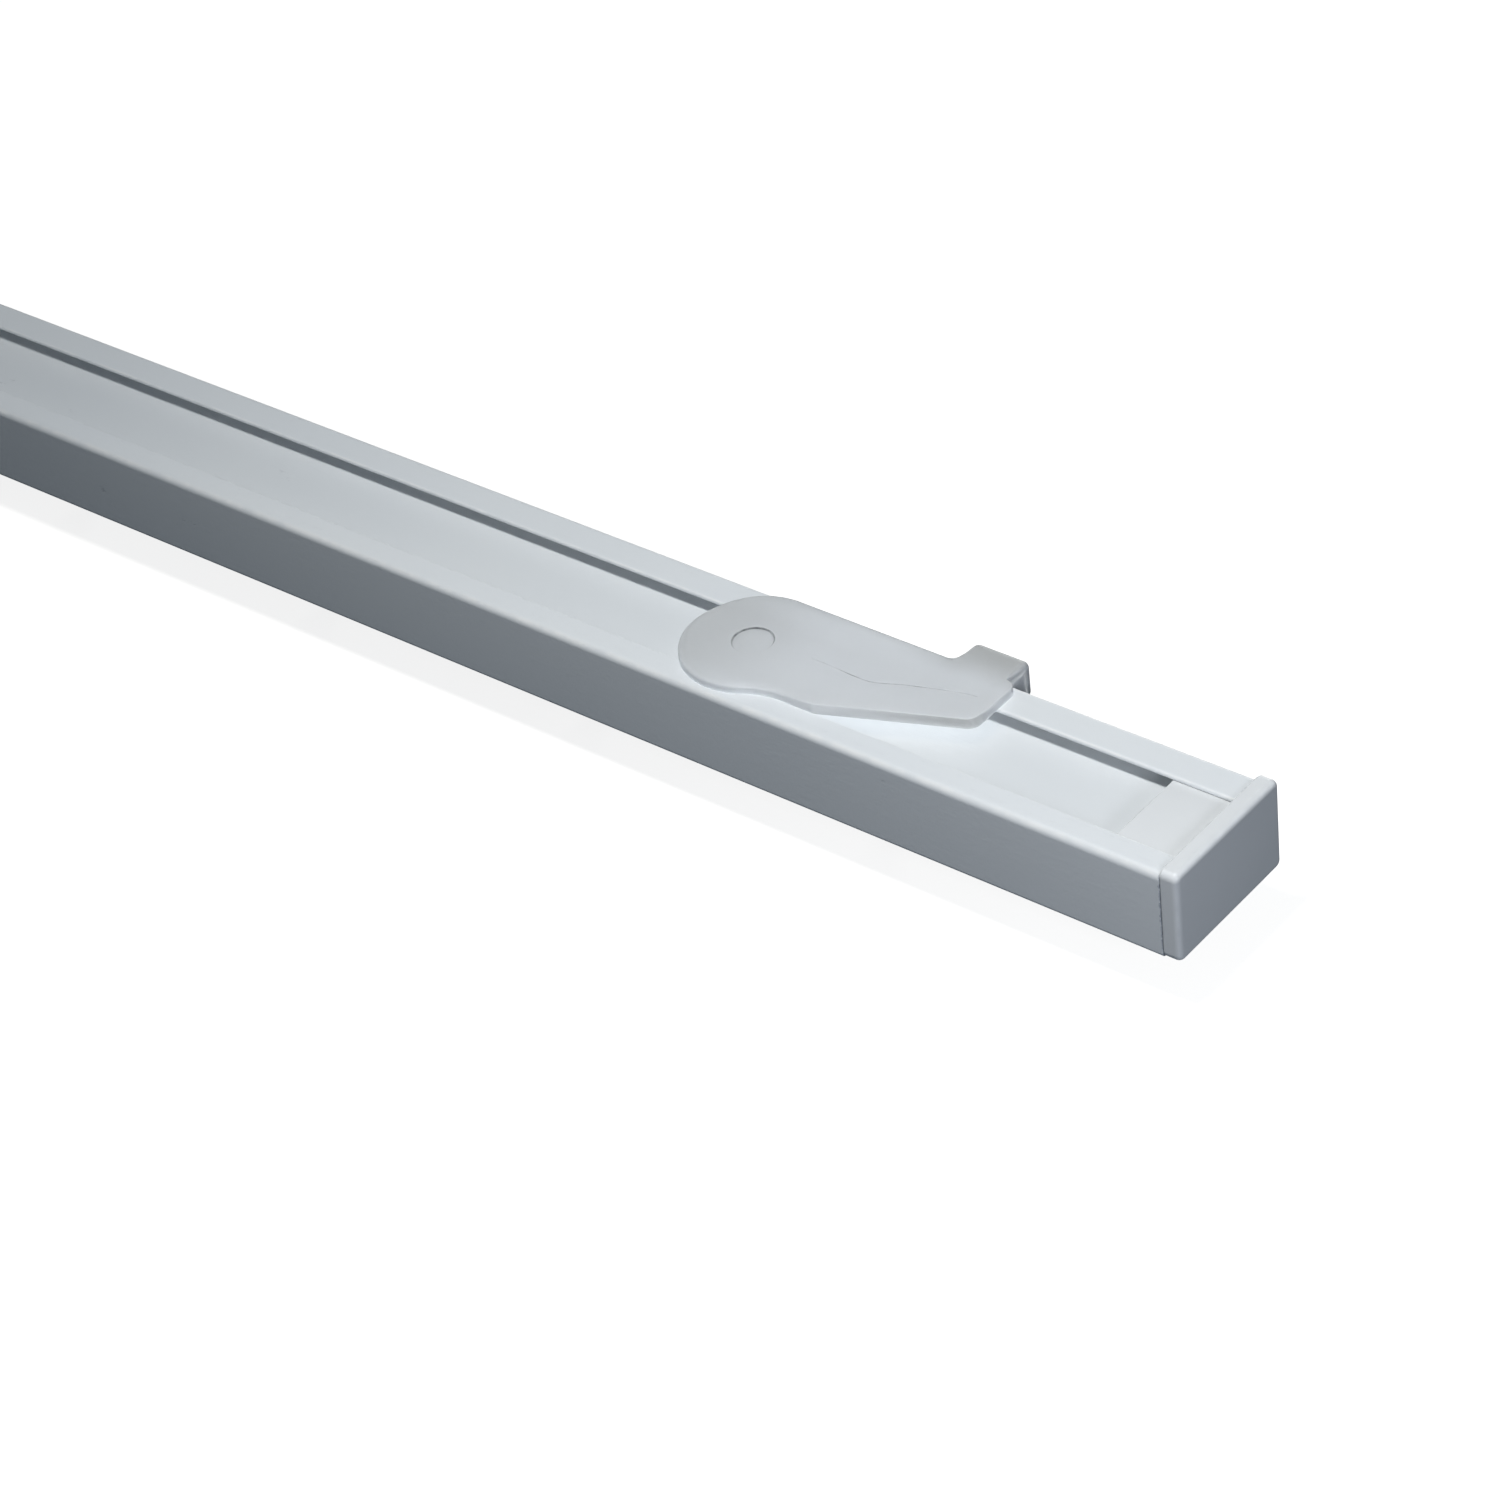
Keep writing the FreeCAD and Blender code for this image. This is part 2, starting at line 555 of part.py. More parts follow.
def make_end_stop(label, side):
    """A block that rests on the runners and is clamped by a set screw up to the web."""
    body = new_body(label)
    head = new_sketch(body, label + "_head_outline", "XY_Plane", "Size.runner_thickness")
    add_rectangle(head, "Size.stop_length / 2", "Size.stop_width / 2",
                  "Size.stop_corner_radius")
    add_pad(body, label + "_head", head, "Size.stop_height")
    neck = new_sketch(body, label + "_neck_outline", "XY_Plane", "-Size.stop_neck_drop")
    add_rectangle(neck, "Size.stop_neck_length / 2",
                  "(" + HALF_SLOT + " - Size.stop_neck_gap)", "Size.stop_corner_radius / 2")
    add_pad(body, label + "_neck", neck, "Size.runner_thickness + Size.stop_neck_drop")
    hole = new_sketch(body, label + "_hole_outline", "XY_Plane", "-Size.stop_neck_drop")
    add_circle(hole, "Size.set_screw_radius + Size.set_screw_gap")
    add_pocket(body, label + "_hole", hole, reverse=True)
    body.setExpression(
        "Placement.Base.x", "%d * (Size.rail_length / 2 - Size.stop_from_end)" % side)
    body.setExpression("Placement.Base.z", RAIL_BOTTOM)

    screw = new_body(label + "_screw")
    shank = new_sketch(screw, label + "_screw_outline", "XY_Plane", "-Size.stop_neck_drop")
    add_circle(shank, "Size.set_screw_radius")
    shank_length = WEB_UNDER + " - " + RAIL_BOTTOM + " + Size.stop_neck_drop"
    add_pad(screw, label + "_screw_shank", shank, shank_length)
    tip = value(WEB_UNDER + " - " + RAIL_BOTTOM)
    dress_edges(screw, "Chamfer", label + "_screw_tip", "Size.set_screw_tip",
                lambda edge: lies_at(edge, "z", tip))
    socket = new_sketch(screw, label + "_socket_outline", "XY_Plane", "-Size.stop_neck_drop")
    rim = "Size.set_screw_socket"
    add_outline(socket, [
        ("%s * %.6f" % (rim, math.cos(math.radians(60 * turn))),
         "%s * %.6f" % (rim, math.sin(math.radians(60 * turn))), None)
        for turn in range(6)
    ])
    add_pocket(screw, label + "_socket", socket, "Size.set_screw_socket_depth", reverse=True)
    screw.setExpression(
        "Placement.Base.x", "%d * (Size.rail_length / 2 - Size.stop_from_end)" % side)
    screw.setExpression("Placement.Base.z", RAIL_BOTTOM)


make_end_stop("end_stop_right", 1)
make_end_stop("end_stop_left", -1)

doc.recompute()
for item in doc.Objects:
    if "Invalid" in item.State or "Error" in item.State:
        raise RuntimeError("%s failed to recompute" % item.Label)
for node in NODES:
    if node.Shape.isNull() or not node.Shape.isValid():
        raise RuntimeError("%s has no valid shape" % node.Label)
    if len(node.Shape.Solids) != 1:
        raise RuntimeError("%s is not one solid" % node.Label)
for node in NODES:
    node.Shape.exportStep("parts/%s.step" % node.Label)
    print("%-24s %9.1f mm3" % (node.Label, node.Shape.Volume))
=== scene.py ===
import bmesh
import bpy
import math
from mathutils import Matrix, Vector
from mathutils.geometry import delaunay_2d_cdt


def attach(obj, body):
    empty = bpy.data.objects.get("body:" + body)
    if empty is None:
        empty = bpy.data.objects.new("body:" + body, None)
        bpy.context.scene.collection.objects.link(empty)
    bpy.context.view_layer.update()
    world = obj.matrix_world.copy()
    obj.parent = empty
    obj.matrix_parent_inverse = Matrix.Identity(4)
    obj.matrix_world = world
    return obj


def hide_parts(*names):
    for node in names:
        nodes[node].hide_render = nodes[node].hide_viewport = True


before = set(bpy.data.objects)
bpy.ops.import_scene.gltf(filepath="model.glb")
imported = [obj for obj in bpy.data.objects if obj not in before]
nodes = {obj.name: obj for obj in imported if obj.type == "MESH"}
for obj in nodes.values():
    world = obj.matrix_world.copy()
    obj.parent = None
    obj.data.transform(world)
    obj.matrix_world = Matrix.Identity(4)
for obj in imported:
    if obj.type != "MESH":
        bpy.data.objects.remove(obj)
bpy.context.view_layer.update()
MM = 0.001
SHARP_ANGLE = math.radians(35)

# The camera's place in metres, its angles in degrees, its lens and film in millimetres.
CAMERA_PLACE = (0.49844, -0.28010, 0.27690)
CAMERA_AZIMUTH, CAMERA_ELEVATION, CAMERA_ROLL = 43.538, 37.334, -7.765
FOCAL_LENGTH, FILM_WIDTH = 95.44, 36

# Sizes of the ceiling clip, in millimetres from the centre of its disc.
CLIP_CENTRE = 235.2
PLATE = 1.2
DISC_RADIUS = 9.1
WAIST_FRONT, WAIST_RADIUS = -6.6, 10.0
SHOULDER, SHOULDER_RADIUS = 14.2, 0.5
LEVER_END, LEVER_CORNER = 32.3, 1.4
TIP_FRONT, TIP_RADIUS = 0.6, 1.8
WALL_LEAN, TIP_LEAN = 0.05, 0.33
FOOT_ROUND = 0.05
TAB_LEFT, TAB_RIGHT = 23.1, 30.7
TAB_ROOT, TAB_CORNER = 0.12, 1.0
TAB_REACH = 13.9
TAB_DROP = 5.6
TAB_BEND = 1.2
TAB_SLOPE = math.radians(2.5)
TAB_WEB = (TAB_RIGHT - 0.9, TAB_RIGHT - 0.03)
TAB_WEB_FOOT = -4.4
DIMPLE_RADIUS, DIMPLE_DEPTH = 2.7, 0.2
NECK_RADIUS = 4.5
LUG_RADIUS, LUG_HALF_WIDTH = 8.2, 4.3
LUG_TOP, LUG_UNDER = -1.87, -3.68
LUG_EDGE = 0.25
RECESS_RADIUS = 2.1

# The flow line on the lever: points in millimetres, depth, and half its width.
CREASE = [(7.9, 0.7), (11.1, 0.7), (14.8, 0.5), (17.6, 0.7),
          (21.5, 2.3), (27.3, 4.2), (30.5, 4.8)]
CREASE_DEPTH, CREASE_HALF = 0.05, 0.09

# Spacing of the clip's mesh, in millimetres, steps round its rim, rings round its dimple.
OUTLINE_PITCH, GRID_PITCH, ROW_PITCH = 0.25, 0.7, 0.61
TAB_PITCH, TAB_ROW_PITCH = 0.68, 0.25
RIM_STEPS = 8
DIMPLE_RINGS = (0.5, 0.9, 1.3, 1.7, 2.1, 2.4, 2.54, 2.62, 2.7, 2.85)

# Sizes of the track's section, in millimetres.
TRACK_END = 300.0
SIDE, WALL_INSIDE, HALF_SLOT = 10.0, 8.7, 3.0
RAIL_TOP, LIP_UNDER, WEB_TOP = -1.2, -1.75, -3.8
WEB_UNDER, RUNNER_TOP, RAIL_BOTTOM = -4.8, -12.0, -13.2
FRONT_LIP_EDGE, BACK_LIP_EDGE = -6.4, 5.2
SHOULDER_ROUND, BOTTOM_ROUND = 1.0, 0.6
INNER_ROUND, EDGE_ROUND = 0.3, 0.2
NOSE_ROUND, NOSE_UNDERSIDE = 0.4, 0.08

# Sizes of the end stop's set screw, in millimetres.
SCREW_CENTRE = 282.0
SCREW_RADIUS, SCREW_PITCH, THREAD_DEPTH = 1.5, 0.5, 0.27
SCREW_FOOT = -13.8
SOCKET_RADIUS, SOCKET_DEPTH = 0.87, 1.6

# Sizes of a glider, in millimetres, its heights from the track's underside.
GLIDERS, GLIDER_PITCH = 12, 46.25
HEAD = (4.2, 5.6, 2.0)
GLIDER_NECK = (2.4, 2.5, 0.9)
COLLAR = (3.6, 3.9, 1.6)
HEAD_UNDER, HEAD_TOP = 1.3, 3.9
COLLAR_TOP, COLLAR_UNDER = -0.3, -1.2
EYE_DROP, EYE_RADIUS, EYE_BORE, EYE_HALF, EYE_EDGE = 2.5, 3.0, 1.7, 1.1, 0.35

# Half the floor's width, and the height it lies at, in metres.
FLOOR_HALF, FLOOR_LEVEL = 4.0, -0.0203


def aim_camera():
    """Set the camera from its azimuth, elevation and roll."""
    azimuth, elevation, roll = (
        math.radians(a) for a in (CAMERA_AZIMUTH, CAMERA_ELEVATION, CAMERA_ROLL))
    forward = Vector((-math.sin(azimuth) * math.cos(elevation),
                      math.cos(azimuth) * math.cos(elevation), -math.sin(elevation)))
    level = forward.cross(Vector((0, 0, 1))).normalized()
    upright = level.cross(forward)
    right = math.cos(roll) * level + math.sin(roll) * upright
    up = -math.sin(roll) * level + math.cos(roll) * upright
    data = bpy.data.cameras.new("camera")
    data.sensor_width = FILM_WIDTH
    data.lens = FOCAL_LENGTH
    data.clip_start = 0.01
    data.clip_end = 20
    camera = bpy.data.objects.new("camera", data)
    bpy.context.scene.collection.objects.link(camera)
    turn = Matrix((right, up, -forward)).transposed().to_4x4()
    camera.matrix_world = Matrix.Translation(CAMERA_PLACE) @ turn
    bpy.context.scene.camera = camera


class Shader:
    """A node tree under construction, with short calls for the nodes used here."""

    def __init__(self, name):
        self.material = bpy.data.materials.new(name)
        self.material.use_nodes = True
        self.tree = self.material.node_tree
        self.tree.nodes.clear()
        self.output = self.add("ShaderNodeOutputMaterial")

    def add(self, kind, **settings):
        node = self.tree.nodes.new(kind)
        for name, setting in settings.items():
            setattr(node, name, setting)
        return node

    def join(self, source, socket):
        """Link an output to a socket, or set a constant on it."""
        if hasattr(source, "is_output"):
            self.tree.links.new(source, socket)
        else:
            socket.default_value = source

    def math(self, operation, first, second=0.0):
        node = self.add("ShaderNodeMath", operation=operation)
        self.join(first, node.inputs[0])
        self.join(second, node.inputs[1])
        return node.outputs[0]

    def place(self, stretch=(1, 1, 1)):
        """The object's own coordinates in metres, stretched along its axes."""
        mapping = self.add("ShaderNodeMapping")
        mapping.inputs["Scale"].default_value = stretch
        self.join(self.add("ShaderNodeTexCoord").outputs["Object"], mapping.inputs["Vector"])
        return mapping.outputs["Vector"]

    def noise(self, scale, stretch=(1, 1, 1), detail=3.0, rough=0.5):
        node = self.add("ShaderNodeTexNoise")
        self.join(self.place(stretch), node.inputs["Vector"])
        node.inputs["Scale"].default_value = scale
        node.inputs["Detail"].default_value = detail
        node.inputs["Roughness"].default_value = rough
        return node.outputs["Fac"]

    def spread(self, source, start, end, low, high):
        """Carry the range from start to end over to the range from low to high."""
        node = self.add("ShaderNodeMapRange")
        for socket, setting in zip(node.inputs, (source, start, end, low, high)):
            self.join(setting, socket)
        return node.outputs["Result"]

    def tint(self, source, first, second):
        """A colour between two others, each a triple or an output."""
        node = self.add("ShaderNodeMix", data_type="RGBA")
        self.join(source, node.inputs[0])
        for socket, colour in zip(node.inputs[6:8], (first, second)):
            self.join(colour if hasattr(colour, "is_output") else (*colour, 1), socket)
        return node.outputs[2]

    def bump(self, source, depth, normal=None):
        node = self.add("ShaderNodeBump")
        self.join(source, node.inputs["Height"])
        node.inputs["Distance"].default_value = depth
        if normal:
            self.join(normal, node.inputs["Normal"])
        return node.outputs["Normal"]

    def soft_edges(self, radius):
        node = self.add("ShaderNodeBevel", samples=8)
        node.inputs["Radius"].default_value = radius
        return node.outputs["Normal"]

    def turned_face(self):
        """Zero on faces square to the part's frame, one on its rounded edges."""
        split = self.add("ShaderNodeSeparateXYZ")
        self.join(self.add("ShaderNodeTexCoord").outputs["Normal"], split.inputs[0])
        sizes = [self.math("ABSOLUTE", axis) for axis in split.outputs]
        most = self.math("MAXIMUM", self.math("MAXIMUM", sizes[0], sizes[1]), sizes[2])
        return self.spread(most, 0.985, 0.80, 0.0, 1.0)

    def sawn_ends(self):
        """Chipped coating along the track's two sawn ends."""
        split = self.add("ShaderNodeSeparateXYZ")
        self.join(self.add("ShaderNodeTexCoord").outputs["Object"], split.inputs[0])
        along = self.math("ABSOLUTE", split.outputs[0])
        reach = 0.0005
        near = self.spread(along, TRACK_END * MM - reach, TRACK_END * MM, 0.0, 0.45)
        speckle = self.math("ADD", self.noise(1100, detail=5.0), near)
        return self.spread(speckle, 0.86, 0.96, 0, 1)

    def blend(self, share, first, second):
        """Two shaders mixed, by the share of the second."""
        mix = self.add("ShaderNodeMixShader")
        self.join(share, mix.inputs[0])
        self.join(first.outputs[0], mix.inputs[1])
        self.join(second.outputs[0], mix.inputs[2])
        return mix

    def finish(self, shader):
        """Send a shader to the material's surface and hand back the material."""
        self.join(shader.outputs[0], self.output.inputs["Surface"])
        return self.material


def powder_coat():
    """Baked white coating: fine orange peel, faint drawing lines, scuffs and a painted highlight
    on rounded edges.
    """
    s = Shader("powder_coat_white")
    coat = s.add("ShaderNodeBsdfPrincipled")
    peel = s.noise(1500, detail=2.0)
    drawn = s.noise(260, stretch=(0.02, 12, 12), detail=4.0, rough=0.6)
    cloud = s.noise(38, stretch=(0.5, 1, 1))
    scuff = s.spread(s.noise(210, stretch=(0.45, 1, 1), detail=6.0, rough=0.75),
                     0.665, 0.72, 0.0, 1.0)
    # Painted highlight: rounded edges are tinted lighter.
    edge_highlight = s.math("MULTIPLY", s.turned_face(),
                    s.spread(s.noise(420, detail=4.0), 0.35, 0.60, 0.2, 0.9))
    normal = s.bump(drawn, 0.000010, s.soft_edges(0.00022))
    normal = s.bump(peel, 0.000018, normal)
    s.join(s.bump(scuff, -0.00002, normal), coat.inputs["Normal"])
    colour = s.tint(cloud, (0.750, 0.775, 0.800), (0.805, 0.820, 0.825))
    colour = s.tint(s.math("MULTIPLY", scuff, 0.35), colour, (0.42, 0.43, 0.45))
    colour = s.tint(s.sawn_ends(), colour, (0.46, 0.49, 0.53))
    s.join(s.tint(edge_highlight, colour, (0.88, 0.88, 0.87)), coat.inputs["Base Color"])
    rough = s.spread(peel, 0.3, 0.7, 0.36, 0.5)
    s.join(s.math("ADD", rough, s.math("MULTIPLY", scuff, 0.2)), coat.inputs["Roughness"])
    coat.inputs["Specular IOR Level"].default_value = 0.4
    return s.finish(coat)


def moulded(name, dark, light, rough, scatter, grain):
    """Moulded plastic: spark-eroded grain, flow clouds and a bright painted highlight on rounded
    edges.
    """
    s = Shader(name)
    body = s.add("ShaderNodeBsdfPrincipled")
    spark = s.noise(2600, detail=2.0)
    flow = s.noise(90, stretch=(0.6, 1, 1), detail=4.0)
    # Painted highlight: rounded edges are tinted bright and made glossier.
    rim_highlight = s.math("MULTIPLY", s.turned_face(),
                  s.spread(s.noise(500, detail=3.0), 0.3, 0.6, 0.4, 0.8))
    s.join(s.bump(spark, grain, s.soft_edges(0.0002)), body.inputs["Normal"])
    colour = s.tint(flow, dark, light)
    s.join(s.tint(rim_highlight, colour, (0.93, 0.94, 0.945)), body.inputs["Base Color"])
    dull = s.spread(spark, 0.3, 0.7, *rough)
    s.join(s.math("SUBTRACT", dull, s.math("MULTIPLY", rim_highlight, 0.15)), body.inputs["Roughness"])
    body.inputs["Subsurface Weight"].default_value = scatter
    body.inputs["Subsurface Radius"].default_value = (0.8, 0.8, 0.8)
    body.inputs["Subsurface Scale"].default_value = 0.001
    return s.finish(body)


def frosted_clip():
    """Milky unpigmented plastic that passes light, with painted shade over its tab, lever wall
    and far side.
    """
    s = Shader("clip_plastic_frosted")
    body = s.add("ShaderNodeBsdfPrincipled")
    grain = s.noise(2200, detail=2.0)
    flow = s.noise(120, stretch=(0.35, 1, 1), detail=4.0, rough=0.6)
    # Painted shade: a share kept at each vertex tints the plastic darker over the tab, the
    # lever's front wall and the disc's far side.
    shade_share = s.add("ShaderNodeAttribute", attribute_name="painted_shade").outputs["Fac"]
    colour = s.tint(flow, (0.590, 0.600, 0.615), (0.650, 0.660, 0.670))
    colour = s.tint(shade_share, colour, (0.44, 0.445, 0.44))
    # Darker along the flow line, and painted shade on one side of the dimple's edge.
    groove = s.add("ShaderNodeAttribute", attribute_name="groove").outputs["Fac"]
    broken = s.spread(s.noise(700, detail=4.0), 0.40, 0.60, 0.40, 1.0)
    line_darkening = s.math("MULTIPLY", groove, broken)
    s.join(s.tint(line_darkening, colour, (0.12, 0.125, 0.13)), body.inputs["Base Color"])
    s.join(s.bump(grain, 0.000010, s.bump(flow, 0.00004)), body.inputs["Normal"])
    s.join(s.spread(grain, 0.3, 0.7, 0.42, 0.56), body.inputs["Roughness"])
    body.inputs["Specular IOR Level"].default_value = 0.35
    body.inputs["Subsurface Weight"].default_value = 1.0
    body.inputs["Subsurface Radius"].default_value = (1.0, 1.0, 1.0)
    body.inputs["Subsurface Scale"].default_value = 0.0025
    through = s.add("ShaderNodeBsdfTransparent")
    s.join(s.tint(flow, (0.90, 0.91, 0.92), (0.96, 0.97, 0.98)), through.inputs["Color"])
    in_shadow = s.add("ShaderNodeLightPath").outputs["Is Shadow Ray"]
    return s.finish(s.blend(in_shadow, body, through))


def plated_steel():
    """Zinc-plated steel with turning marks and dull patches."""
    s = Shader("screw_steel_plated")
    body = s.add("ShaderNodeBsdfPrincipled")
    turned = s.noise(900, stretch=(1, 1, 6))
    dull = s.noise(700, detail=4.0)
    s.join(s.bump(turned, 0.00001, s.soft_edges(0.00004)), body.inputs["Normal"])
    s.join(s.tint(dull, (0.45, 0.45, 0.44), (0.64, 0.64, 0.62)), body.inputs["Base Color"])
    s.join(s.spread(dull, 0.3, 0.7, 0.24, 0.46), body.inputs["Roughness"])
    body.inputs["Metallic"].default_value = 1.0
    return s.finish(body)


def dress(name, material):
    """Give a carried CAD node another material."""
    for slot in nodes[name].material_slots:
        slot.material = material


def arc(centre, radius, first, last):
    """Points on a circle from one angle to another, in degrees."""
    count = max(4, int(abs(last - first) / 2))
    angles = [math.radians(first + (last - first) * i / count) for i in range(count + 1)]
    return [Vector((centre[0] + radius * math.cos(a), centre[1] + radius * math.sin(a)))
            for a in angles]


def rounded(corners):
    """A path through (x, y, radius) whose inner corners are arcs."""
    path = [Vector(corners[0][:2])]
    for before, (x, y, radius), after in zip(corners, corners[1:], corners[2:]):
        here = Vector((x, y))
        back = (Vector(before[:2]) - here).normalized()
        ahead = (Vector(after[:2]) - here).normalized()
        half = back.angle(ahead) / 2
        centre = here + (back + ahead).normalized() * radius / math.sin(half)
        start = here + back * radius / math.tan(half) - centre
        end = here + ahead * radius / math.tan(half) - centre
        first = math.atan2(start.y, start.x)
        turn = math.remainder(math.atan2(end.y, end.x) - first, 2 * math.pi)
        path += arc(centre, radius, math.degrees(first), math.degrees(first + turn))
    path.append(Vector(corners[-1][:2]))
    return path


def evenly(path, spacing):
    """Points at one spacing round a closed path."""
    legs = [(a, b - a) for a, b in zip(path, path[1:] + path[:1]) if (b - a).length > 1e-6]
    total = sum(leg.length for _, leg in legs)
    count = round(total / spacing)
    points, passed, index = [], 0.0, 0
    for i in range(count):
        wanted = total * i / count
        while passed + legs[index][1].length < wanted:
            passed += legs[index][1].length
            index += 1
        start, leg = legs[index]
        points.append(start + leg.normalized() * (wanted - passed))
    return points


def smooth(value, low, high):
    """Zero below low, one above high, and a soft step between them."""
    share = min(1.0, max(0.0, (value - low) / (high - low)))
    return share * share * (3 - 2 * share)


def clip_outline():
    """Plan of the clip with its tab laid flat, anticlockwise from the back of the disc."""
    waist_y = WAIST_FRONT - WAIST_RADIUS
    waist_x = math.sqrt((DISC_RADIUS + WAIST_RADIUS) ** 2 - waist_y ** 2)
    leave = math.degrees(math.atan2(waist_y, waist_x))
    path = arc((0, 0), DISC_RADIUS, 90, 360 + leave)
    path += arc((waist_x, waist_y), WAIST_RADIUS, 180 + leave, 90)
    path += rounded([
        (waist_x, WAIST_FRONT),
        (SHOULDER, WAIST_FRONT, SHOULDER_RADIUS),
        (LEVER_END, TIP_FRONT, TIP_RADIUS),
        (LEVER_END, DISC_RADIUS, LEVER_CORNER),
        (TAB_RIGHT, DISC_RADIUS, TAB_ROOT),
        (TAB_RIGHT, tab_flat_end(), TAB_CORNER),
        (TAB_LEFT, tab_flat_end(), TAB_CORNER),
        (TAB_LEFT, DISC_RADIUS, TAB_CORNER),
        (0, DISC_RADIUS)])
    return evenly(path, OUTLINE_PITCH)


def tab_bend_start():
    """Where the tab's slope runs into its bend, and the bend's centre height."""
    y = TAB_REACH - TAB_BEND * (1 - math.sin(TAB_SLOPE))
    z = -(y - DISC_RADIUS) * math.tan(TAB_SLOPE)
    return y, z - TAB_BEND * math.cos(TAB_SLOPE)


def tab_flat_end():
    """How far back the tab reaches when it is laid flat."""
    bend_y, bend_z = tab_bend_start()
    slope = (bend_y - DISC_RADIUS) / math.cos(TAB_SLOPE)
    return DISC_RADIUS + slope + TAB_BEND * (math.pi / 2 - TAB_SLOPE) + bend_z + TAB_DROP


def fold(x, y, z):
    """Carry a point of the flat plate along the tab's slope, bend and leg."""
    gone = y - DISC_RADIUS
    if gone <= 0:
        return x, y, z
    bend_y, bend_z = tab_bend_start()
    slope = (bend_y - DISC_RADIUS) / math.cos(TAB_SLOPE)
    if gone <= slope:
        angle = TAB_SLOPE * smooth(gone, 0, 1)
        return (x, DISC_RADIUS + gone * math.cos(TAB_SLOPE) + z * math.sin(angle),
                -gone * math.sin(TAB_SLOPE) + z * math.cos(angle))
    turn = (gone - slope) / TAB_BEND
    leg = 0.0
    if turn > math.pi / 2 - TAB_SLOPE:
        leg = (turn - math.pi / 2 + TAB_SLOPE) * TAB_BEND
        turn = math.pi / 2 - TAB_SLOPE
    angle = TAB_SLOPE + turn
    reach = TAB_BEND + z
    return (x, TAB_REACH - TAB_BEND + reach * math.sin(angle),
            bend_z + reach * math.cos(angle) - leg)


def rim_size(point):
    """Width and height of the rim: broad on disc and tab, crisp along the lever."""
    disc = (1 - smooth(point.x, 8.0, 14.0)) * (1 - smooth(point.y, 3.0, 8.5))
    tab = smooth(point.y, DISC_RADIUS + 0.2, DISC_RADIUS + 2.5)
    crisp = 0.08
    return Vector((crisp + 1.2 * disc + 0.6 * tab, crisp + 0.3 * disc + 0.5 * tab))


def draft(point):
    """How far the wall leans in by its top: a little all round, more along the lever's front."""
    front = 1 - smooth(point.y, 1.0, 4.0)
    return WALL_LEAN + TIP_LEAN * front * smooth(point.x, 11.0, 16.0)


def crease_line():
    """The fine flow line across the lever, a smooth curve through its points."""
    points = [Vector(p) for p in CREASE]
    points = [2 * points[0] - points[1]] + points + [2 * points[-1] - points[-2]]
    line, steps = [], 10
    for a, b, c, d in zip(points, points[1:], points[2:], points[3:]):
        for i in range(steps):
            t = i / steps
            line.append(0.5 * (2 * b + (c - a) * t + (2 * a - 5 * b + 4 * c - d) * t ** 2
                               + (3 * b - a - 3 * c + d) * t ** 3))
    return line


def dimple(radius):
    """Height of the plate's top at a distance from the dimple's centre."""
    wall = 1 - smooth(radius, DIMPLE_RADIUS - 0.16, DIMPLE_RADIUS)
    dome = 1 - smooth(radius, 0.9, DIMPLE_RADIUS - 0.2)
    return -DIMPLE_DEPTH * wall * (1 - 0.65 * dome)


def layer(builder, name):
    """A number kept at each vertex for the material to read."""
    floats = builder.verts.layers.float
    return floats.get(name) or floats.new(name)


def painted_shade(point):
    """How much shade is painted on the milky plastic: most over the tab, less on the disc's far
    side.
    """
    tab = smooth(point.y, 5.5, TAB_REACH) * smooth(point.x, 15.0, TAB_LEFT)
    tip = 0.12 * smooth(point.x, 16.0, LEVER_END)
    # The tab, the lever's tip and the disc's far side each get painted shade.
    return max(tab, tip, 0.45 * (1 - smooth(point.x, -9.0, 9.0)))


def cover(builder, rim, height, marks, line_darkening=None):
    """Close a ring of points with a fine folded sheet; marks are inner points and lines."""
    count = len(rim)
    points = list(rim)
    edges = [(i, (i + 1) % count) for i in range(count)]
    for line, joined in marks:
        if joined:
            edges += [(len(points) + i, len(points) + i + 1) for i in range(len(line) - 1)]
        points += line
    found, _, faces, _, _, _ = delaunay_2d_cdt(points, edges, [], 1, 1e-5)
    made = [builder.verts.new(fold(p.x, p.y, height(p))) for p in found]
    for vertex, p in zip(made, found):
        # Each vertex keeps its share of painted shade for the material.
        vertex[layer(builder, "painted_shade")] = painted_shade(p)
        if line_darkening:
            vertex[layer(builder, "groove")] = line_darkening(p)
    for face in faces:
        builder.faces.new([made[i] for i in face])


def inside(point, outline, margin):
    """True where a point lies within an outline and clear of its edge."""
    crossings = 0
    for a, b in zip(outline, outline[1:] + outline[:1]):
        if (a.y > point.y) != (b.y > point.y):
            if point.x < a.x + (b.x - a.x) * (point.y - a.y) / (b.y - a.y):
                crossings += 1
        if (a - point).length < margin:
            return False
    return crossings % 2 == 1


def join_loops(builder, loops):
    """Bands of quads between closed loops of equal length."""
    for low, high in zip(loops, loops[1:]):
        for i in range(len(low)):
            j = (i + 1) % len(low)
            builder.faces.new((low[i], low[j], high[j], high[i]))


def even_rims(outline):
    """Rim sizes round an outline, evened so that broad ones run softly into crisp ones."""
    count, passes = len(outline), 6
    rims = [rim_size(p) for p in outline]
    for _ in range(passes):
        rims = [(rims[i - 1] + rims[i] + rims[(i + 1) % count]) / 3 for i in range(count)]
    return rims


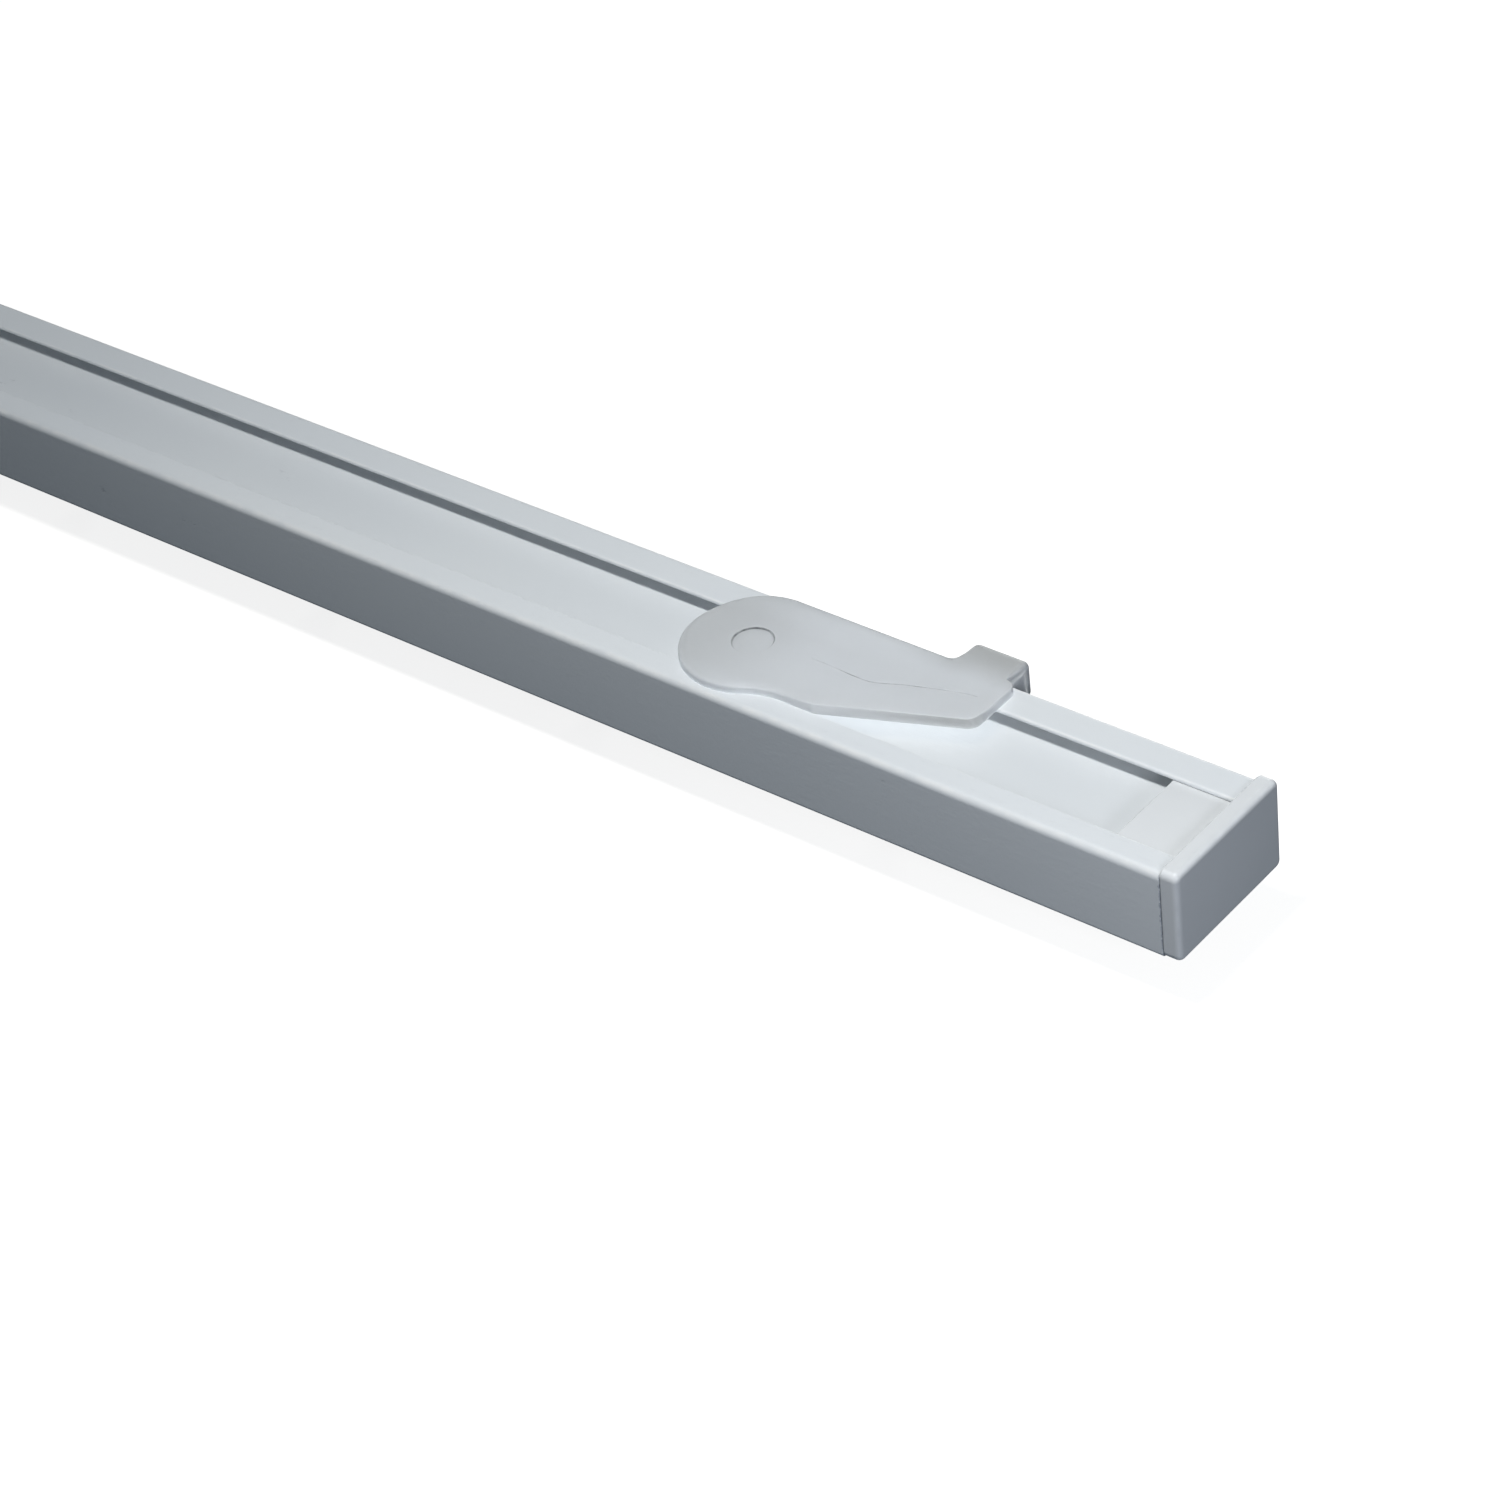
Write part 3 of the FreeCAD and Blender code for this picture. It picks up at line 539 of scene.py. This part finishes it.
def plate_rings(outline):
    """Rings of (plan point, height) from the plate's rounded rim down to its foot."""
    inward = []
    for before, after in zip(outline[-1:] + outline[:-1], outline[1:] + outline[:1]):
        run = (after - before).normalized()
        inward.append(Vector((-run.y, run.x)))
    rims = even_rims(outline)
    rings = []
    for step in range(RIM_STEPS):
        angle = math.radians(90 * step / (RIM_STEPS - 1))
        ring = []
        for p, n, rim in zip(outline, inward, rims):
            down = rim.y * (1 - math.cos(angle))
            inset = rim.x * (1 - math.sin(angle)) + draft(p) * (1 - down / PLATE)
            ring.append((p + n * inset, -down))
        rings.append(ring)
    for inset, up in ((0, 1), (0.3, 0.3), (1, 0)):
        rings.append([(p + n * FOOT_ROUND * inset, -PLATE + FOOT_ROUND * up)
                      for p, n in zip(outline, inward)])
    return rings


def plate_grid(outline, crease):
    """Inner points of the plate: staggered rows on disc and lever, finer rows on the tab."""
    grid = []
    rows, columns = range(-14, 30), range(-14, 50)
    tab_rows, tab_columns = range(36), range(9)
    tab_margin = 0.85
    for row in rows:
        for column in columns:
            p = Vector((GRID_PITCH * column + GRID_PITCH / 2 * (row % 2), ROW_PITCH * row))
            if inside(p, outline, 3 * GRID_PITCH) and p.length > DIMPLE_RADIUS + 0.5:
                grid.append(p)
    grid = [p for p in grid if min((p - q).length for q in crease) > GRID_PITCH / 2]
    for row in tab_rows:
        for column in tab_columns:
            p = Vector((TAB_LEFT + 1 + TAB_PITCH * column,
                        DISC_RADIUS + 0.3 + TAB_ROW_PITCH * row))
            if inside(p, outline, tab_margin):
                grid.append(p)
    return grid


def clip_plate(builder):
    """The clip's folded plate, with its wall, its dimple and its flow line."""
    outline = clip_outline()
    rings = plate_rings(outline)
    layer(builder, "groove")
    shade_share = layer(builder, "painted_shade")
    loops = [[builder.verts.new(fold(p.x, p.y, z)) for p, z in ring] for ring in rings]
    # The wall takes painted shade, growing along the lever's front towards its tip.
    for step, loop in enumerate(loops):
        wall = smooth(step, 2, 6)
        for vertex, p in zip(loop, outline):
            lean = draft(p) / (WALL_LEAN + TIP_LEAN)
            shade = 0.1 * painted_shade(p) + 0.8 * smooth(p.x, 14.0, LEVER_END) * lean
            vertex[shade_share] = (1 - wall) * painted_shade(p) + wall * shade
    join_loops(builder, loops)

    def key(p):
        return round(p.x, 5), round(p.y, 5)

    crease = crease_line()
    grid = plate_grid(outline, crease)
    strips = [[p + Vector((0, offset)) for p in crease]
              for offset in (-CREASE_HALF, 0.0, CREASE_HALF)]
    deep = {key(p) for p in strips[1][2:-2]}
    rounds = [arc((0, 0), radius, 0, 357.5) for radius in DIMPLE_RINGS]

    def line_darkening(p):
        """How dark the flow line is made, and the painted shade on one side of the dimple's edge.
        """
        if key(p) in deep:
            return 0.35 + 0.65 * smooth(p.x, 11, 15) * (1 - smooth(p.x, 23, 29))
        # Painted shade: the dimple's edge darkens most on the side turned from the light.
        around = 0.5 + 0.5 * math.cos(math.atan2(p.y, p.x) - math.radians(125))
        return around if abs(p.length - DIMPLE_RADIUS + 0.12) < 0.06 else 0.0

    def top(p):
        return dimple(p.length) - (CREASE_DEPTH if key(p) in deep else 0.0)

    def underside(p):
        return -PLATE

    lines = [(strip, True) for strip in strips] + [(ring, False) for ring in rounds]
    cover(builder, [p for p, _ in rings[0]], top, [(grid, False)] + lines, line_darkening)
    cover(builder, [p for p, _ in rings[-1]], underside, [(grid, False)])


def clip_lug(builder):
    """Neck and lug under the plate, lofted through rings round the turning axis."""
    def lug(angle, inset):
        flat = LUG_HALF_WIDTH / max(abs(math.cos(angle)), 1e-6)
        return min(LUG_RADIUS, flat) - inset

    def circle(radius):
        return lambda angle: radius

    near = LUG_EDGE * 0.3
    flare, fillet = 0.2, 0.12
    within_plate = -PLATE + 0.05
    rings = [(circle(RECESS_RADIUS), within_plate),
             (circle(RECESS_RADIUS), LUG_UNDER + flare),
             (circle(RECESS_RADIUS + flare), LUG_UNDER),
             (lambda a: lug(a, LUG_EDGE), LUG_UNDER),
             (lambda a: lug(a, near), LUG_UNDER + near),
             (lambda a: lug(a, 0), LUG_UNDER + LUG_EDGE),
             (lambda a: lug(a, 0), LUG_TOP - LUG_EDGE),
             (lambda a: lug(a, near), LUG_TOP - near),
             (lambda a: lug(a, LUG_EDGE), LUG_TOP),
             (circle(NECK_RADIUS + fillet), LUG_TOP),
             (circle(NECK_RADIUS), LUG_TOP + fillet),
             (circle(NECK_RADIUS), within_plate)]
    count = 144
    loops = []
    for radius, z in rings:
        angles = [2 * math.pi * i / count for i in range(count)]
        loops.append([builder.verts.new((radius(a) * math.cos(a), radius(a) * math.sin(a), z))
                      for a in angles])
    join_loops(builder, loops)


def clip_web(builder):
    """Web that closes the tab's outer side, between the back of the track and the leg."""
    gap, overlap = 0.12, 0.1
    front, back = SIDE + gap, TAB_REACH - PLATE + overlap
    top = -PLATE + overlap
    corners = ((front, TAB_WEB_FOOT), (back, TAB_WEB_FOOT), (back, top), (front, top))
    loops = [[builder.verts.new((x, y, z)) for y, z in corners] for x in TAB_WEB]
    join_loops(builder, loops)
    builder.faces.new(loops[0][::-1])
    builder.faces.new(loops[1])


def new_piece(name, builder, centre, material):
    """A bmesh in millimetres becomes an object in metres, moved along the track."""
    bmesh.ops.remove_doubles(builder, verts=builder.verts, dist=1e-4)
    bmesh.ops.recalc_face_normals(builder, faces=builder.faces)
    bmesh.ops.translate(builder, vec=(centre, 0, 0), verts=builder.verts)
    bmesh.ops.scale(builder, vec=(MM, MM, MM), verts=builder.verts)
    mesh = bpy.data.meshes.new(name)
    builder.to_mesh(mesh)
    builder.free()
    mesh.polygons.foreach_set("use_smooth", [True] * len(mesh.polygons))
    mesh.set_sharp_from_angle(angle=SHARP_ANGLE)
    mesh.materials.append(material)
    piece = bpy.data.objects.new(name, mesh)
    bpy.context.scene.collection.objects.link(piece)
    return piece


def make_clip(side, sign, material):
    """One clip: plate, lug and web in one moulding."""
    builder = bmesh.new()
    clip_plate(builder)
    clip_lug(builder)
    clip_web(builder)
    piece = new_piece("clip_moulding_" + side, builder, sign * CLIP_CENTRE, material)
    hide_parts("ceiling_clip_" + side)
    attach(piece, "clip_" + side)


def track_section():
    """The extruded section, (y, z) points anticlockwise from the middle of the groove's floor."""
    return rounded([
        (0, WEB_TOP),
        (-WALL_INSIDE, WEB_TOP, INNER_ROUND),
        (-WALL_INSIDE, LIP_UNDER, INNER_ROUND),
        (FRONT_LIP_EDGE, LIP_UNDER, EDGE_ROUND),
        (FRONT_LIP_EDGE, RAIL_TOP, EDGE_ROUND),
        (-SIDE, RAIL_TOP, SHOULDER_ROUND),
        (-SIDE, RAIL_BOTTOM, BOTTOM_ROUND),
        (-HALF_SLOT, RAIL_BOTTOM, EDGE_ROUND),
        (-HALF_SLOT, RUNNER_TOP, EDGE_ROUND),
        (-WALL_INSIDE, RUNNER_TOP, INNER_ROUND),
        (-WALL_INSIDE, WEB_UNDER, INNER_ROUND),
        (WALL_INSIDE, WEB_UNDER, INNER_ROUND),
        (WALL_INSIDE, RUNNER_TOP, INNER_ROUND),
        (HALF_SLOT, RUNNER_TOP, EDGE_ROUND),
        (HALF_SLOT, RAIL_BOTTOM, EDGE_ROUND),
        (SIDE, RAIL_BOTTOM, BOTTOM_ROUND),
        (SIDE, RAIL_TOP, SHOULDER_ROUND),
        (BACK_LIP_EDGE, RAIL_TOP, NOSE_ROUND),
        (BACK_LIP_EDGE, LIP_UNDER, NOSE_UNDERSIDE),
        (WALL_INSIDE, LIP_UNDER, INNER_ROUND),
        (WALL_INSIDE, WEB_TOP, INNER_ROUND),
        (0, WEB_TOP)])


def make_track(material):
    """The section carried along the track, in bays of equal length."""
    section = track_section()[:-1]
    builder = bmesh.new()
    bays = 24
    stations = [-TRACK_END + 2 * TRACK_END * i / bays for i in range(bays + 1)]
    loops = [[builder.verts.new((x, p.x, p.y)) for p in section] for x in stations]
    join_loops(builder, loops)
    builder.faces.new(loops[0])
    builder.faces.new(loops[-1])
    piece = new_piece("track_extrusion", builder, 0, material)
    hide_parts("track_profile")
    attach(piece, "track")


def make_set_screw(side, sign, material):
    """A threaded set screw with a hexagon socket in its foot and a cup at its top."""
    count, rows_per_turn = 48, 8
    angles = [2 * math.pi * i / count for i in range(count)]

    def hexagon(angle):
        within = math.remainder(angle - math.pi / 6, math.pi / 3)
        return SOCKET_RADIUS * math.cos(math.pi / 6) / math.cos(within)

    foot, top = SCREW_FOOT, WEB_UNDER
    point, bevel = 0.02, 0.08
    drill_cone, cup_radius, cup_depth = 0.25, 0.7, 0.3
    foot_chamfer, top_chamfer = 0.3, 0.4
    plain_ends = 0.8
    rings = [[(point, foot + SOCKET_DEPTH + drill_cone)] * count,
             [(hexagon(a) - 0.03, foot + SOCKET_DEPTH) for a in angles],
             [(hexagon(a), foot + SOCKET_DEPTH - 0.05) for a in angles],
             [(hexagon(a), foot + bevel) for a in angles],
             [(hexagon(a) + bevel, foot) for a in angles],
             [(SCREW_RADIUS - foot_chamfer, foot)] * count]
    length = top - foot - plain_ends
    for row in range(int(length / SCREW_PITCH * rows_per_turn) + 1):
        z = foot + foot_chamfer + row * SCREW_PITCH / rows_per_turn
        fade = smooth(z, foot + 0.2, foot + 0.6) * (1 - smooth(z, top - 0.7, top - 0.45))
        ring = []
        for a in angles:
            turn = (z - foot) / SCREW_PITCH - a / (2 * math.pi)
            wave = 2 * abs(math.remainder(turn, 1.0))
            depth = THREAD_DEPTH * (1 - fade * smooth(wave, 0.1, 0.9))
            ring.append((SCREW_RADIUS - depth, z))
        rings.append(ring)
    cup = ((SCREW_RADIUS - top_chamfer, top), (cup_radius, top), (point, top - cup_depth))
    rings += [[corner] * count for corner in cup]
    builder = bmesh.new()
    loops = [[builder.verts.new((r * math.cos(a), r * math.sin(a), z))
              for (r, z), a in zip(ring, angles)] for ring in rings]
    join_loops(builder, loops)
    builder.faces.new(loops[0])
    builder.faces.new(loops[-1])
    piece = new_piece("set_screw_" + side, builder, sign * SCREW_CENTRE, material)
    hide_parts("end_stop_%s_screw" % side)
    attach(piece, "track")


def oblong(half_x, half_y, radius, z, inset=0.0):
    """A rounded rectangle at one height, with 16 points on each corner."""
    corner = 16
    points = []
    for turn in range(4):
        sign_x = 1 if turn in (0, 3) else -1
        sign_y = 1 if turn in (0, 1) else -1
        centre_x, centre_y = sign_x * (half_x - radius), sign_y * (half_y - radius)
        for i in range(corner):
            angle = math.radians(90 * turn + 90 * (i + 0.5) / corner)
            points.append((centre_x + (radius - inset) * math.cos(angle),
                           centre_y + (radius - inset) * math.sin(angle), z))
    return points


def glider_body(builder):
    """Head, neck and collar as one stack of rounded rectangles."""
    crown = ((1.5, 0), (0.75, 0), (0.62, 0.06), (0.06, 0.62), (0, 0.8))
    soft = ((0.0, 0.22), (0.066, 0.066), (0.22, 0.0))
    fillet, eye_root = 0.15, 1.2
    rings = [oblong(*HEAD, HEAD_TOP - down, inset) for inset, down in crown]
    rings += [oblong(*HEAD, HEAD_UNDER + up, inset) for inset, up in soft]
    rings += [oblong(*GLIDER_NECK, HEAD_UNDER, -fillet)]
    rings += [oblong(*GLIDER_NECK, HEAD_UNDER - fillet)]
    rings += [oblong(*GLIDER_NECK, COLLAR_TOP + fillet)]
    rings += [oblong(*GLIDER_NECK, COLLAR_TOP, -fillet)]
    rings += [oblong(*COLLAR, COLLAR_TOP - down, inset) for inset, down in soft[::-1]]
    rings += [oblong(*COLLAR, COLLAR_UNDER + up, inset) for inset, up in soft]
    rings += [oblong(*COLLAR, COLLAR_UNDER, eye_root)]
    loops = [[builder.verts.new(p) for p in ring] for ring in rings]
    join_loops(builder, loops)
    builder.faces.new(loops[0])
    builder.faces.new(loops[-1])


def glider_eye(builder):
    """The hook eye: a soft-edged band swept round the bore, widening up to the collar."""
    centre = COLLAR_UNDER - EYE_DROP

    def outside(angle):
        rise, across = math.sin(angle), abs(math.cos(angle))
        if rise <= 0:
            return EYE_RADIUS
        return min((EYE_DROP + 0.2) / max(rise, 0.01), EYE_RADIUS / (across + 0.16 * rise))

    count, quarter = 96, (0, 0.52, 1.05, 1.57)
    loops = []
    for i in range(count):
        angle = 2 * math.pi * i / count
        low, high = EYE_BORE, outside(angle)
        band = [(low + EYE_EDGE * (1 - math.cos(t)), EYE_HALF - EYE_EDGE * (1 - math.sin(t)))
                for t in quarter]
        band += [(high - EYE_EDGE * (1 - math.sin(t)), EYE_HALF - EYE_EDGE * (1 - math.cos(t)))
                 for t in quarter]
        band += [(r, -y) for r, y in reversed(band)]
        loops.append([builder.verts.new((r * math.cos(angle), y, centre + r * math.sin(angle)))
                      for r, y in band])
    join_loops(builder, loops + loops[:1])


def make_glider(number, material):
    """One glider, hung in the track at its own place."""
    builder = bmesh.new()
    glider_body(builder)
    glider_eye(builder)
    bmesh.ops.translate(builder, vec=(0, 0, RAIL_BOTTOM), verts=builder.verts)
    centre = (number - (GLIDERS + 1) / 2) * GLIDER_PITCH
    piece = new_piece("glider_moulding_%02d" % number, builder, centre, material)
    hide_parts("glider_%02d" % number)
    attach(piece, "glider_%02d" % number)


def make_floor():
    """Pale paper that takes the object's shadow, shows white, and is clear from below."""
    s = Shader("floor_pale")
    path = s.add("ShaderNodeLightPath")
    seen = s.math("MAXIMUM", path.outputs["Is Camera Ray"], path.outputs["Is Transmission Ray"])
    bounce = s.add("ShaderNodeBsdfDiffuse")
    bounce.inputs["Color"].default_value = (0.105, 0.12, 0.14, 1)
    paper = s.add("ShaderNodeBsdfDiffuse")
    paper.inputs["Color"].default_value = (0.42, 0.41, 0.39, 1)
    away = s.add("ShaderNodeVectorMath", operation="LENGTH")
    s.join(s.place((0.5, 1, 0)), away.inputs[0])
    glow = s.add("ShaderNodeEmission")
    glow.inputs["Color"].default_value = (1, 1, 1, 1)
    s.join(s.spread(away.outputs["Value"], 0.10, 0.24, 0.84, 1.0), glow.inputs["Strength"])
    lit_paper = s.add("ShaderNodeAddShader")
    s.join(paper.outputs[0], lit_paper.inputs[0])
    s.join(glow.outputs[0], lit_paper.inputs[1])
    back = s.add("ShaderNodeNewGeometry").outputs["Backfacing"]
    from_below = s.math("MULTIPLY", back, path.outputs["Is Camera Ray"])
    clear = s.add("ShaderNodeBsdfTransparent")
    surface = s.blend(from_below, s.blend(seen, bounce, lit_paper), clear)
    mesh = bpy.data.meshes.new("floor")
    half, level = FLOOR_HALF, FLOOR_LEVEL
    mesh.from_pydata([(-half, -half, level), (half, -half, level),
                      (half, half, level), (-half, half, level)], [], [(0, 1, 2, 3)])
    mesh.materials.append(s.finish(surface))
    floor = bpy.data.objects.new("floor", mesh)
    bpy.context.scene.collection.objects.link(floor)


def area_lamp(name, place, target, size, power, spread=180, colour=(1, 1, 1)):
    """A round lamp in watts and metres, turned to its target."""
    data = bpy.data.lights.new(name, "AREA")
    data.shape = "DISK"
    data.size = size
    data.energy = power
    data.color = colour
    data.spread = math.radians(spread)
    lamp = bpy.data.objects.new(name, data)
    bpy.context.scene.collection.objects.link(lamp)
    lamp.location = place
    lamp.rotation_euler = (Vector(target) - Vector(place)).to_track_quat("-Z", "Y").to_euler()


def light_the_room():
    """Small lamps overhead, beside the cap, behind and over the far half."""
    area_lamp("overhead", (0.268, -0.065, 0.28), (0.268, 0.0, 0.0),
              size=0.05, power=0.66, colour=(0.985, 1.0, 1.0))
    area_lamp("beside_cap", (0.42, -0.08, 0.06), (0.28, 0.0, 0.0),
              size=0.04, power=0.078, colour=(0.88, 0.92, 1.0))
    area_lamp("behind", (-0.05, 0.70, 0.10), (-0.05, 0.0, 0.0), size=0.30, power=1.3)
    area_lamp("middle", (-0.08, -0.12, 0.27), (-0.08, 0.0, 0.0),
              size=0.08, power=0.045, spread=60)
    area_lamp("far_end", (-0.42, -0.12, 0.24), (-0.26, 0.0, 0.0),
              size=0.08, power=0.09, spread=60)


def surround():
    """A faint cool sky for the object, and white where the camera looks past it."""
    world = bpy.data.worlds.new("studio")
    bpy.context.scene.world = world
    world.use_nodes = True
    tree = world.node_tree
    sky = tree.nodes["Background"]
    sky.inputs["Color"].default_value = (0.55, 0.78, 1.0, 1)
    sky.inputs["Strength"].default_value = 0.08
    backdrop = tree.nodes.new("ShaderNodeBackground")
    backdrop.inputs["Color"].default_value = (1, 1, 1, 1)
    mix = tree.nodes.new("ShaderNodeMixShader")
    seen = tree.nodes.new("ShaderNodeLightPath").outputs["Is Camera Ray"]
    tree.links.new(seen, mix.inputs[0])
    tree.links.new(sky.outputs[0], mix.inputs[1])
    tree.links.new(backdrop.outputs[0], mix.inputs[2])
    tree.links.new(mix.outputs[0], tree.nodes["World Output"].inputs["Surface"])


aim_camera()

materials = {
    "track": powder_coat(),
    "end_cap": moulded("cap_plastic_white", (0.74, 0.75, 0.755), (0.79, 0.80, 0.805),
                       rough=(0.38, 0.50), scatter=0.1, grain=0.000012),
    "glider": moulded("glider_plastic_white", (0.73, 0.735, 0.73), (0.80, 0.80, 0.79),
                      rough=(0.28, 0.40), scatter=0.15, grain=0.000008),
    "end_stop": moulded("stop_plastic_white", (0.70, 0.705, 0.70), (0.77, 0.77, 0.76),
                        rough=(0.34, 0.48), scatter=0.1, grain=0.000012),
    "ceiling_clip": frosted_clip(),
}
steel = plated_steel()

for name in nodes:
    if name.endswith("screw"):
        dress(name, steel)
    else:
        for start, material in materials.items():
            if name.startswith(start):
                dress(name, material)

make_track(materials["track"])
for side, sign in (("right", 1), ("left", -1)):
    make_clip(side, sign, materials["ceiling_clip"])
    make_set_screw(side, sign, steel)

for number in range(1, GLIDERS + 1):
    make_glider(number, materials["glider"])

make_floor()
light_the_room()
surround()
bpy.context.scene.view_settings.view_transform = "Standard"
